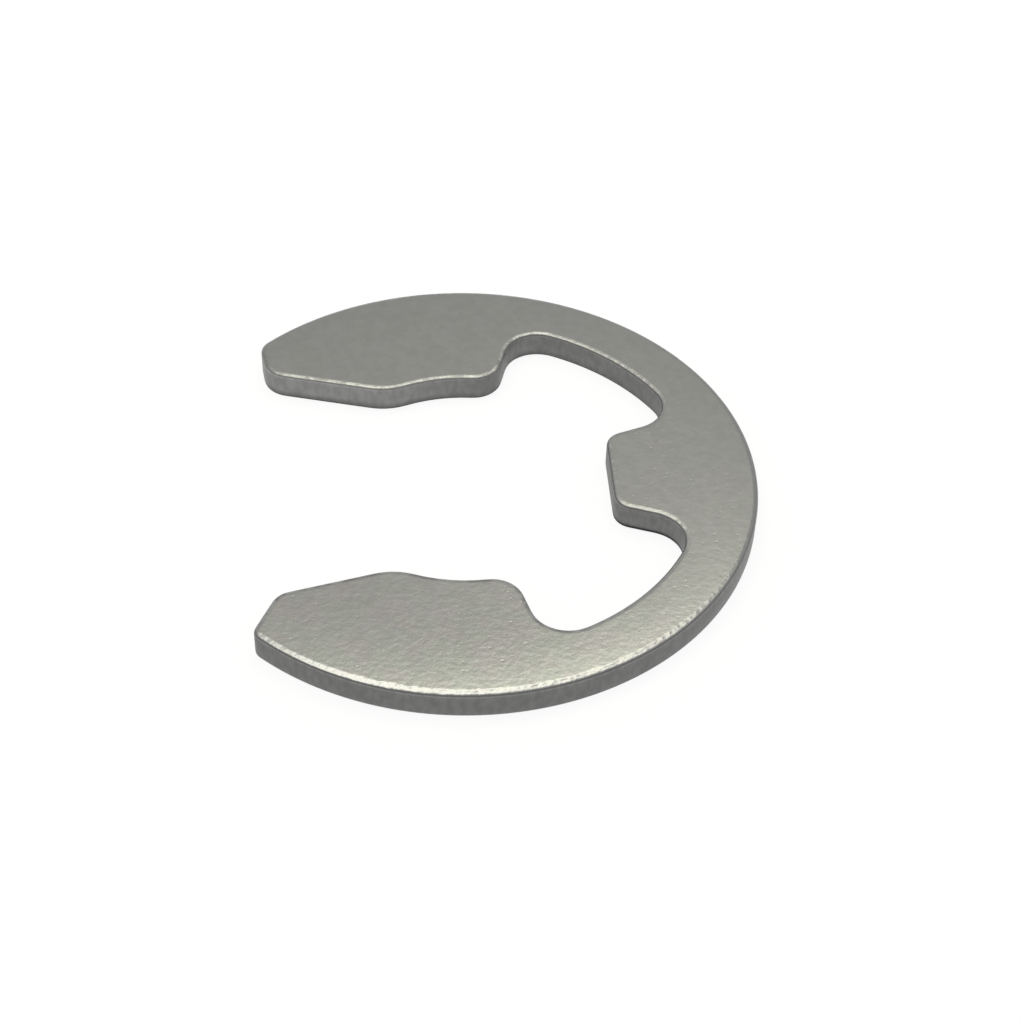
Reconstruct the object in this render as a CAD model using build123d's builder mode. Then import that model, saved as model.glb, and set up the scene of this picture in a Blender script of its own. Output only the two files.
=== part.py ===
from build123d import *

import os
from math import sqrt

# E clip: a flat open retaining ring for a shaft's groove, stamped in one piece from stainless strip.
# Millimetres and degrees, +Z up. The origin is the centre of the circle that grips the groove, at
# half the strip's thickness. The middle lobe stands on +X, and the mouth opens towards -X between
# the left arm, which ends at +Y, and the right arm, which ends at -Y.

# The strip, and the circles that the clip is drawn on
thickness = 1.2
outer_diameter = 24.0
groove_diameter = 12.0
relief_diameter = 19.3

# The lobes and the pockets between them, as angles about the centre, and how much of a pocket's
# depth the rounding of its corners takes: on the middle lobe, on the jaws, and at the pocket's bottom
middle_lobe_angle = 38.6
pocket_angle = 54.9
middle_corner_share = 0.22
jaw_corner_share = 0.34
pocket_corner_share = 0.4

# The mouth: its width between the jaws, and how far each lead-in turns away from the shaft's path
mouth_width = 10.5
lead_in_angle = 14.4
jaw_radius = 2.5

# The arm ends, each cropped by its own straight cut: where the cut meets the outer circle, how far
# it leans from square, and how much of the cut's width the rounding of each of its corners takes
end_angle = 135.0
left_end_lean = 8.5
left_inner_share = 0.63
left_outer_share = 0.4
right_end_lean = 25.0
right_inner_share = 0.4
right_outer_share = 0.22

# The rounding that tumbling leaves along every edge of both faces
edge_radius = 0.15

outer_radius = outer_diameter / 2
groove_radius = groove_diameter / 2
relief_radius = relief_diameter / 2
pocket_depth = relief_radius - groove_radius
pocket_sides = (middle_lobe_angle / 2, middle_lobe_angle / 2 + pocket_angle)
jaw = Vector(-sqrt(groove_radius**2 - (mouth_width / 2) ** 2), mouth_width / 2)


def polar(radius, angle):
    """The point at a radius and an angle about the centre."""
    return Vector(radius, 0).rotate(Axis.Z, angle)


def nearest(shapes, point):
    """The corner or edge, of those given, that lies nearest to a point."""
    return shapes.sort_by_distance(Vertex(*point))[0]


with BuildPart() as e_clip:
    with BuildSketch() as outline:
        Circle(outer_radius)
        Circle(groove_radius, mode=Mode.SUBTRACT)

        # A pocket each side of the middle lobe, which leaves a slim bow that can spring
        for start in (pocket_sides[0], -pocket_sides[1]):
            with BuildLine():
                PolarLine((0, 0), relief_radius, start)
                CenterArc((0, 0), relief_radius, start, pocket_angle)
                PolarLine((0, 0), relief_radius, start + pocket_angle)
            make_face(mode=Mode.SUBTRACT)

        # The middle lobe's crest is cut off flat, where it meets the bottom of the shaft's groove
        with Locations((groove_radius, 0)):
            Rectangle(
                groove_radius,
                groove_radius,
                align=(Align.MAX, Align.CENTER),
                mode=Mode.SUBTRACT,
            )

        # The mouth: both lead-ins run straight from the jaws, out past the ends of the arms
        flare = jaw + polar(outer_diameter, 180 - lead_in_angle)
        with BuildLine():
            Polyline((0, 0), jaw, flare, (flare.X, -flare.Y), (jaw.X, -jaw.Y), close=True)
        make_face(mode=Mode.SUBTRACT)

        # The straight cut across each arm's end
        for side, lean in ((1, left_end_lean), (-1, right_end_lean)):
            with Locations(polar(outer_radius, side * end_angle)):
                Rectangle(
                    outer_radius,
                    outer_radius,
                    rotation=side * lean,
                    align=(Align.MAX, Align.CENTER),
                    mode=Mode.SUBTRACT,
                )

        # The punch rounds every corner of the outline: first the two jaws that the shaft rides over
        jaws = [nearest(outline.vertices(), (jaw.X, side * jaw.Y)) for side in (1, -1)]
        fillet(jaws, jaw_radius)

        # The corners of the middle lobe and of the jaws, and those at the bottom of the pockets
        for radius, angle, share in (
            (groove_radius, pocket_sides[0], middle_corner_share),
            (groove_radius, pocket_sides[1], jaw_corner_share),
            (relief_radius, pocket_sides[0], pocket_corner_share),
            (relief_radius, pocket_sides[1], pocket_corner_share),
        ):
            corners = [nearest(outline.vertices(), polar(radius, side * angle)) for side in (1, -1)]
            fillet(corners, share * pocket_depth)

        # The two corners of each arm end: the inner one, beside the mouth, and the outer one
        for side, inner_share, outer_share in (
            (1, left_inner_share, left_outer_share),
            (-1, right_inner_share, right_outer_share),
        ):
            tip = polar(outer_radius, side * end_angle)
            end = nearest(outline.edges().filter_by(GeomType.LINE), tip)
            fillet(nearest(end.vertices(), (0, 0)), inner_share * end.length)
            fillet(nearest(outline.vertices(), tip), outer_share * end.length)

    extrude(amount=thickness / 2, both=True)

    # Tumbling rounds both faces' edges all the way round the outline
    rims = e_clip.faces().filter_by(Axis.Z).edges()
    fillet(rims, edge_radius)

e_clip.part.label = "e_clip"
os.makedirs("parts", exist_ok=True)
export_step(e_clip.part, "parts/e_clip.step")
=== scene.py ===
from math import radians, tan

import bmesh
import bpy
from mathutils import Matrix, Vector, noise


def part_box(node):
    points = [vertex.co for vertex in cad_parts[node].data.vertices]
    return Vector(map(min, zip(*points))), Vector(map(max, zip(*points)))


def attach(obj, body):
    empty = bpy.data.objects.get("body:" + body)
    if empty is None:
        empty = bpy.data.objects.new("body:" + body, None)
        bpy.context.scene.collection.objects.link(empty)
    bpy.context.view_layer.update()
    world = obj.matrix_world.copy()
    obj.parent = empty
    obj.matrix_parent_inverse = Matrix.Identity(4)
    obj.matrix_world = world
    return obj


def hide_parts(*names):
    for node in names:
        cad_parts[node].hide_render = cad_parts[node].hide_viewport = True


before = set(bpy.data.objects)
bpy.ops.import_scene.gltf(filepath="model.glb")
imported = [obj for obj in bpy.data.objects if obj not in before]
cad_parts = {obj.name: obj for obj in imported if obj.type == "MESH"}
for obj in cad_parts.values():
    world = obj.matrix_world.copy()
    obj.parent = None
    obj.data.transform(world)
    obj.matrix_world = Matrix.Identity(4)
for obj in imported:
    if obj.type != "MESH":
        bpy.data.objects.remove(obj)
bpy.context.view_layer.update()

scene = bpy.context.scene
scene.view_settings.view_transform = "Standard"

# ---- The camera -------------------------------------------------------------------------------
# A close-up from 85 mm away, looking down at 44 degrees, a little off the clip's own Y axis.
# The aim is the point on the floor at the middle of the view.
low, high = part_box("e_clip")
aim = Vector((0.00183, -0.00100, low.z))
distance = 0.08533
elevation = 43.95
azimuth = -5.02
lean = 1.85
camera_data = bpy.data.cameras.new("camera")
camera_data.lens = 73.5
camera_data.sensor_width = 36.0
camera_data.clip_start = 0.005
camera_data.clip_end = 20.0
camera = bpy.data.objects.new("camera", camera_data)
scene.collection.objects.link(camera)
turned = Matrix.Rotation(radians(azimuth), 4, "Z")
tilted = Matrix.Rotation(radians(90.0 - elevation), 4, "X")
leaned = Matrix.Rotation(radians(lean), 4, "Z")
away = Matrix.Translation((0, 0, distance))
camera.matrix_world = Matrix.Translation(aim) @ turned @ tilted @ leaned @ away
scene.camera = camera

# ---- The floor --------------------------------------------------------------------------------
# White paper under the clip. Seen directly or in the metal it is plain white with a faint contact
# shadow, and it lights the clip only as pale paper would.
paper_reach = 3.0
paper = bmesh.new()
bmesh.ops.create_grid(paper, x_segments=1, y_segments=1, size=paper_reach)
bmesh.ops.translate(paper, verts=paper.verts, vec=(0, 0, low.z))
floor_mesh = bpy.data.meshes.new("floor")
paper.to_mesh(floor_mesh)
paper.free()
floor = bpy.data.objects.new("floor", floor_mesh)
scene.collection.objects.link(floor)

white_paper = bpy.data.materials.new("white_paper")
white_paper.use_nodes = True
nodes, links = white_paper.node_tree.nodes, white_paper.node_tree.links
nodes.clear()
output = nodes.new("ShaderNodeOutputMaterial")
lit = nodes.new("ShaderNodeBsdfDiffuse")
lit.inputs["Color"].default_value = (0.8, 0.8, 0.8, 1)
shaded = nodes.new("ShaderNodeBsdfDiffuse")
shaded.inputs["Color"].default_value = (0.14, 0.14, 0.14, 1)
glow = nodes.new("ShaderNodeEmission")
glow.inputs["Strength"].default_value = 0.9
seen = nodes.new("ShaderNodeAddShader")
links.new(shaded.outputs[0], seen.inputs[0])
links.new(glow.outputs[0], seen.inputs[1])
path = nodes.new("ShaderNodeLightPath")
seen_or_mirrored = nodes.new("ShaderNodeMath")
seen_or_mirrored.operation = "MAXIMUM"
links.new(path.outputs["Is Camera Ray"], seen_or_mirrored.inputs[0])
links.new(path.outputs["Is Glossy Ray"], seen_or_mirrored.inputs[1])
or_through = nodes.new("ShaderNodeMath")
or_through.operation = "MAXIMUM"
links.new(seen_or_mirrored.outputs[0], or_through.inputs[0])
links.new(path.outputs["Is Transmission Ray"], or_through.inputs[1])
choose = nodes.new("ShaderNodeMixShader")
links.new(or_through.outputs[0], choose.inputs[0])
links.new(lit.outputs[0], choose.inputs[1])
links.new(seen.outputs[0], choose.inputs[2])
links.new(choose.outputs[0], output.inputs["Surface"])
floor_mesh.materials.append(white_paper)

# ---- The light --------------------------------------------------------------------------------
# One wide warm softbox hangs over the clip. The room is white round the horizon, where the paper
# sweeps up, and a plain grey above.
softbox_data = bpy.data.lights.new("softbox", "AREA")
softbox_data.shape = "RECTANGLE"
softbox_data.size = 0.2
softbox_data.size_y = 0.08
softbox_data.energy = 0.118
softbox_data.color = (1.0, 0.985, 0.84)
softbox = bpy.data.objects.new("softbox", softbox_data)
scene.collection.objects.link(softbox)
hung = Matrix.Translation((-0.0082, 0.0402, 0.17))
softbox.matrix_world = hung @ Matrix.Rotation(radians(32.0), 4, "Z")

room_grey = 0.49
world = bpy.data.worlds.new("room")
scene.world = world
world.use_nodes = True
nodes, links = world.node_tree.nodes, world.node_tree.links
nodes.clear()
output = nodes.new("ShaderNodeOutputWorld")
room = nodes.new("ShaderNodeBackground")
direction = nodes.new("ShaderNodeTexCoord")
height = nodes.new("ShaderNodeSeparateXYZ")
fade = nodes.new("ShaderNodeValToRGB")
fade.color_ramp.elements[0].position = 0.05
fade.color_ramp.elements[0].color = (1, 1, 1, 1)
fade.color_ramp.elements[1].position = 0.15
fade.color_ramp.elements[1].color = (room_grey, room_grey, room_grey, 1)
links.new(direction.outputs["Generated"], height.inputs[0])
links.new(height.outputs["Z"], fade.inputs[0])
links.new(fade.outputs["Color"], room.inputs["Color"])
links.new(room.outputs[0], output.inputs["Surface"])

# ---- The clip ---------------------------------------------------------------------------------
# One piece of stainless strip. A die stamps the outline and draws its upper rim down a little,
# which leaves upright sheared walls, and tumbling with stones rounds the rims.
MM = 0.001
outer_radius = 12.0 * MM
pocket_radius = 9.65 * MM
rim_radius = 0.14 * MM
finest = 0.06 * MM

# Rings inside the rims, each with its width and its slope in degrees. The level ones hold the
# flats' shading even
worn_rings = [(0.04 * MM, 11.0), (0.03 * MM, 7.0), (0.03 * MM, 2.0)]
level_rings = [(0.035 * MM, 0.0)] * 5
rings = worn_rings + level_rings

# The outline is the solid's own, cut at half its height and divided finely. Points that lie on
# its two circles are set back onto them
clip = bmesh.new()
clip.from_mesh(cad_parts["e_clip"].data)
bmesh.ops.remove_doubles(clip, verts=clip.verts, dist=0.001 * MM)
bmesh.ops.bisect_plane(
    clip,
    geom=clip.verts[:] + clip.edges[:] + clip.faces[:],
    dist=0.0001 * MM,
    plane_co=(0, 0, 0),
    plane_no=(0, 0, 1),
    clear_inner=True,
    clear_outer=True,
)
while True:
    long_edges = [edge for edge in clip.edges if edge.calc_length() > finest]
    if not long_edges:
        break
    bmesh.ops.subdivide_edges(clip, edges=long_edges, cuts=1)
for vert in clip.verts:
    radius = vert.co.xy.length
    for circle in (outer_radius, pocket_radius):
        if abs(radius - circle) < 0.013 * MM:
            vert.co.xy *= circle / radius
for _ in range(10):
    bmesh.ops.smooth_vert(clip, verts=clip.verts, factor=0.5, use_axis_x=True, use_axis_y=True)

# The blank is lower than the strip by what the worn rings then rise
rises = [width * tan(radians(slope)) for width, slope in rings]
bmesh.ops.contextual_create(clip, geom=clip.edges[:])
bmesh.ops.translate(clip, verts=clip.verts, vec=(0, 0, low.z))
blank = bmesh.ops.extrude_face_region(clip, geom=clip.faces[:], use_keep_orig=True)
raised = [item for item in blank["geom"] if isinstance(item, bmesh.types.BMVert)]
bmesh.ops.translate(clip, verts=raised, vec=(0, 0, high.z - low.z - sum(rises)))
bmesh.ops.recalc_face_normals(clip, faces=clip.faces)
rims = [edge for edge in clip.edges if any(len(face.verts) > 4 for face in edge.link_faces)]
bmesh.ops.bevel(
    clip,
    geom=rims,
    offset=rim_radius,
    offset_type="OFFSET",
    affect="EDGES",
    segments=4,
    profile=0.5,
    material=-1,
)
for (width, slope), rise in zip(rings, rises):
    for side, depth in ((1, rise), (-1, 0.0)):
        flats = [face for face in clip.faces if len(face.verts) > 4 and face.normal.z * side > 0.5]
        bmesh.ops.inset_region(clip, faces=flats, thickness=width, depth=depth, use_even_offset=True)

# The outer rim is worn down further on the side towards -Y, from a ragged line inside it. The
# line runs smoother towards the arm's end, and the slope past it grows that way, in degrees
worn_line = 11.79 * MM
ragged_width = 0.05 * MM
for vert in clip.verts:
    if vert.co.z > 0:
        x, y = vert.co.x / MM, vert.co.y / MM
        uneven = noise.noise(vert.co * 4000) + noise.noise(vert.co * 9000)
        towards_end = min(1.0, max(0.0, (-x - 3.0) / 4.0))
        share = min(1.0, max(0.0, (1.0 - (y + 0.5 * x)) / 7.0))
        start = worn_line - (0.09 * share - 0.05 * towards_end) * MM
        start += ragged_width * uneven * (1 - 0.7 * towards_end)
        across = min(vert.co.xy.length, outer_radius - rim_radius) - start
        worn = across * tan(radians(11.0 - 0.4 * x))
        vert.co.z -= max(0.0, worn - min(high.z - vert.co.z, sum(rises)))

        # Below the flats, a fine unevenness
        below = min(1.0, (high.z - vert.co.z) / (0.01 * MM))
        vert.co.z -= 0.003 * below * (1 + uneven) * MM

clip_mesh = bpy.data.meshes.new("clip")
clip.to_mesh(clip_mesh)
clip.free()
clip_mesh.shade_smooth()
clip_object = bpy.data.objects.new("clip", clip_mesh)
scene.collection.objects.link(clip_object)
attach(clip_object, "root")
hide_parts("e_clip")

# Satin stainless, grey with a faint warmth. The flats carry a fine tumbled grain and small dents,
# and the sheared walls are duller, and darker partly by painted shade, with a painted dark line
# where the rim ends.
steel = bpy.data.materials.new("tumbled_stainless")
steel.use_nodes = True
nodes, links = steel.node_tree.nodes, steel.node_tree.links
skin = nodes["Principled BSDF"]
skin.inputs["Metallic"].default_value = 1.0


def add(kind, **settings):
    """A shader node of this kind, with these settings."""
    node = nodes.new("ShaderNode" + kind)
    for name, value in settings.items():
        setattr(node, name, value)
    return node


def feed(socket, value):
    """Gives a socket a number or another node's output."""
    if isinstance(value, (int, float)):
        socket.default_value = value
    else:
        links.new(value, socket)


def calculate(operation, first, second=0.0, third=0.0):
    """The output of a Math node."""
    node = add("Math", operation=operation)
    for socket, value in zip(node.inputs, (first, second, third)):
        feed(socket, value)
    return node.outputs[0]


def spread(value, from_low, from_high, to_low=0.0, to_high=1.0):
    """A value eased from one range into another."""
    node = add("MapRange", interpolation_type="SMOOTHSTEP")
    for socket, number in zip(node.inputs, (value, from_low, from_high, to_low, to_high)):
        feed(socket, number)
    return node.outputs[0]


def grain(vector, scale, detail=2.0):
    """Noise of this many grains to the millimetre, from 0 to 1."""
    node = add("TexNoise")
    links.new(vector, node.inputs["Vector"])
    node.inputs["Scale"].default_value = scale
    node.inputs["Detail"].default_value = detail
    return node.outputs["Fac"]


def blend_colours(share, first, second, blend_type="MIX"):
    """One colour laid over another."""
    node = add("Mix", data_type="RGBA", blend_type=blend_type)
    feed(node.inputs["Factor"], share)
    for socket, colour in ((node.inputs["A"], first), (node.inputs["B"], second)):
        if isinstance(colour, tuple):
            socket.default_value = (*colour, 1)
        else:
            links.new(colour, socket)
    return node.outputs["Result"]


where = add("TexCoord").outputs["Object"]
in_mm = add("Mapping")
in_mm.inputs["Scale"].default_value = (1000, 1000, 1000)
links.new(where, in_mm.inputs["Vector"])
in_mm = in_mm.outputs["Vector"]

position = add("SeparateXYZ")
links.new(in_mm, position.inputs[0])
x_mm, y_mm, z_mm = position.outputs
squares = calculate("ADD", calculate("MULTIPLY", x_mm, x_mm), calculate("MULTIPLY", y_mm, y_mm))
from_axis = calculate("SQRT", squares)

# inner is 0 at the outer edge and 1 inside it. levelness is 1 on the flats and 0 on the walls
inner = spread(from_axis, 11.5, 11.0)
facing = add("SeparateXYZ")
links.new(add("NewGeometry").outputs["Normal"], facing.inputs[0])
levelness = calculate("ABSOLUTE", facing.outputs["Z"])

# The flats are faintly cloudy, in two tints. The rims are polished bright in patches, with a
# painted highlight towards the middle lobe. The outer rim has painted shade on its far side, and
# a painted dark reflection runs along the rims' foot
worn_side = calculate("MULTIPLY_ADD", x_mm, 0.5, y_mm)
front_side = spread(worn_side, -2.0, -10.0)
greenish = blend_colours(front_side, (0.439, 0.445, 0.417), (0.434, 0.448, 0.413))
rosy = blend_colours(front_side, (0.443, 0.441, 0.423), (0.453, 0.437, 0.422))
tint = blend_colours(spread(grain(in_mm, 1.1), 0.35, 0.65), greenish, rosy)
cloudy = spread(grain(in_mm, 2.5, 3.0), 0.25, 0.75)
clouds = blend_colours(cloudy, (0.955, 0.955, 0.955), (1.045, 1.045, 1.045))
flat_colour = blend_colours(1.0, tint, clouds, "MULTIPLY")
# Lighter where the outer rim is worn, darker on its far side as painted shade
near_polish_far_painted_shade = spread(worn_side, 1.0, -6.0)
outer_rim = blend_colours(near_polish_far_painted_shade, (0.4, 0.4, 0.395), (0.44, 0.44, 0.44))
# Inner rims vary in patches, and a painted highlight brightens them towards the middle lobe
patches_and_painted_highlight = spread(grain(in_mm, 2.6, 3.0), 0.4, 0.62)
patches_and_painted_highlight = calculate("MAXIMUM", patches_and_painted_highlight, spread(x_mm, 2.5, 5.0, 0.0, 0.6))
inner_rim = blend_colours(patches_and_painted_highlight, (0.31, 0.31, 0.305), (0.49, 0.49, 0.48))
rim_colour = blend_colours(inner, outer_rim, inner_rim)
colour = blend_colours(spread(levelness, 0.999, 0.98), flat_colour, rim_colour)
# A painted dark reflection along the foot of the rims, darker by the middle lobe
painted_dark_line = spread(levelness, 0.93, 0.8)
painted_inner_line = blend_colours(spread(x_mm, 1.0, 4.0), (0.31, 0.31, 0.306), (0.22, 0.22, 0.217))
colour = blend_colours(painted_dark_line, colour, blend_colours(inner, (0.24, 0.24, 0.237), painted_inner_line))

# The walls are darker than the flats, partly as painted shade. The far arm's inner wall has painted
# light, the inner walls turn darker towards the bottom, and all are mottled in fine upright
# streaks, with a painted sheen where they turn towards the rims
drawn = add("Mapping")
drawn.inputs["Scale"].default_value = (1, 1, 0.5)
links.new(in_mm, drawn.inputs["Vector"])
mottled = spread(grain(drawn.outputs["Vector"], 4.0, 4.0), 0.3, 0.7, 0.9, 1.1)
# Painted light on the far arm's inner wall
far_wall_painted_light = spread(calculate("SUBTRACT", y_mm, x_mm), 4.0, 9.0)
upper_wall = blend_colours(far_wall_painted_light, (0.203, 0.203, 0.2), (0.27, 0.27, 0.265))
# Darker towards the bottom of the inner walls
towards_wall_foot = spread(z_mm, -0.15, -0.5)
inner_wall = blend_colours(towards_wall_foot, upper_wall, (0.15, 0.15, 0.148))
wall_colour = blend_colours(inner, (0.17, 0.17, 0.168), inner_wall)
# Mottling, with a painted sheen where the wall turns towards a rim
mottling_and_painted_sheen = calculate("MULTIPLY", mottled, spread(levelness, 0.02, 0.4, 1.0, 1.5))
wall_colour = blend_colours(1.0, wall_colour, mottling_and_painted_sheen, "MULTIPLY")
wall = spread(levelness, 0.62, 0.45)
colour = blend_colours(wall, colour, wall_colour)

# Painted shade darkens the lower rims of the mouth and pockets, and a painted shadow lies along
# the middle lobe's foot
painted_shade_underneath = calculate("MULTIPLY", spread(facing.outputs["Z"], -0.06, -0.3), inner)
colour = blend_colours(painted_shade_underneath, colour, (0.07, 0.07, 0.07))
# A painted shadow along the middle lobe's foot
painted_shadow_at_lobe_foot = calculate(
    "MULTIPLY",
    calculate("MULTIPLY", spread(x_mm, 3.0, 5.0), spread(y_mm, 1.0, -1.0)),
    calculate("MULTIPLY", spread(z_mm, -0.34, -0.46), inner),
)
colour = blend_colours(painted_shadow_at_lobe_foot, colour, (0.03, 0.03, 0.032))
links.new(colour, skin.inputs["Base Color"])
inner_rim_rougher = calculate("MULTIPLY", inner, spread(levelness, 0.999, 0.98, 0.0, 0.1))
roughness = calculate("ADD", spread(wall, 0.0, 1.0, 0.31, 0.45), inner_rim_rougher)
links.new(roughness, skin.inputs["Roughness"])

# The flats crown slightly outwards. Fine grain covers them, rougher on the rims, with a few dents
outward = calculate("MAXIMUM", calculate("SUBTRACT", from_axis, 8.0), 0.0)
crown = calculate("MULTIPLY", calculate("POWER", outward, 3.0), -0.0011)
rolled = add("Mapping")
rolled.inputs["Scale"].default_value = (0.85, 1, 1)
links.new(in_mm, rolled.inputs["Vector"])
rolled = rolled.outputs["Vector"]
speckle = grain(rolled, 4.5, 1.0)
grainy = spread(worn_side, 1.0, -9.0, 0.004, 0.0075)
roughened = blend_colours(spread(levelness, 0.999, 0.98), grainy, (0.014, 0.014, 0.014))
surface = calculate("MULTIPLY_ADD", speckle, roughened, crown)
dents = add("TexVoronoi", voronoi_dimensions="2D")
links.new(rolled, dents.inputs["Vector"])
dents.inputs["Scale"].default_value = 2.4
dent_shade = add("SeparateColor")
links.new(dents.outputs["Color"], dent_shade.inputs[0])
clustered = spread(grain(in_mm, 0.4), 0.38, 0.6)
dent_depth = calculate("MULTIPLY", spread(dent_shade.outputs[0], 0.3, 1.0), clustered)
dented = calculate("MULTIPLY", dent_depth, spread(dents.outputs["Distance"], 0.17, 0.0, 0.0, 0.005))
surface = calculate("SUBTRACT", surface, dented)
bump = add("Bump")
bump.inputs["Distance"].default_value = MM
links.new(surface, bump.inputs["Height"])
links.new(bump.outputs[0], skin.inputs["Normal"])
clip_mesh.materials.append(steel)
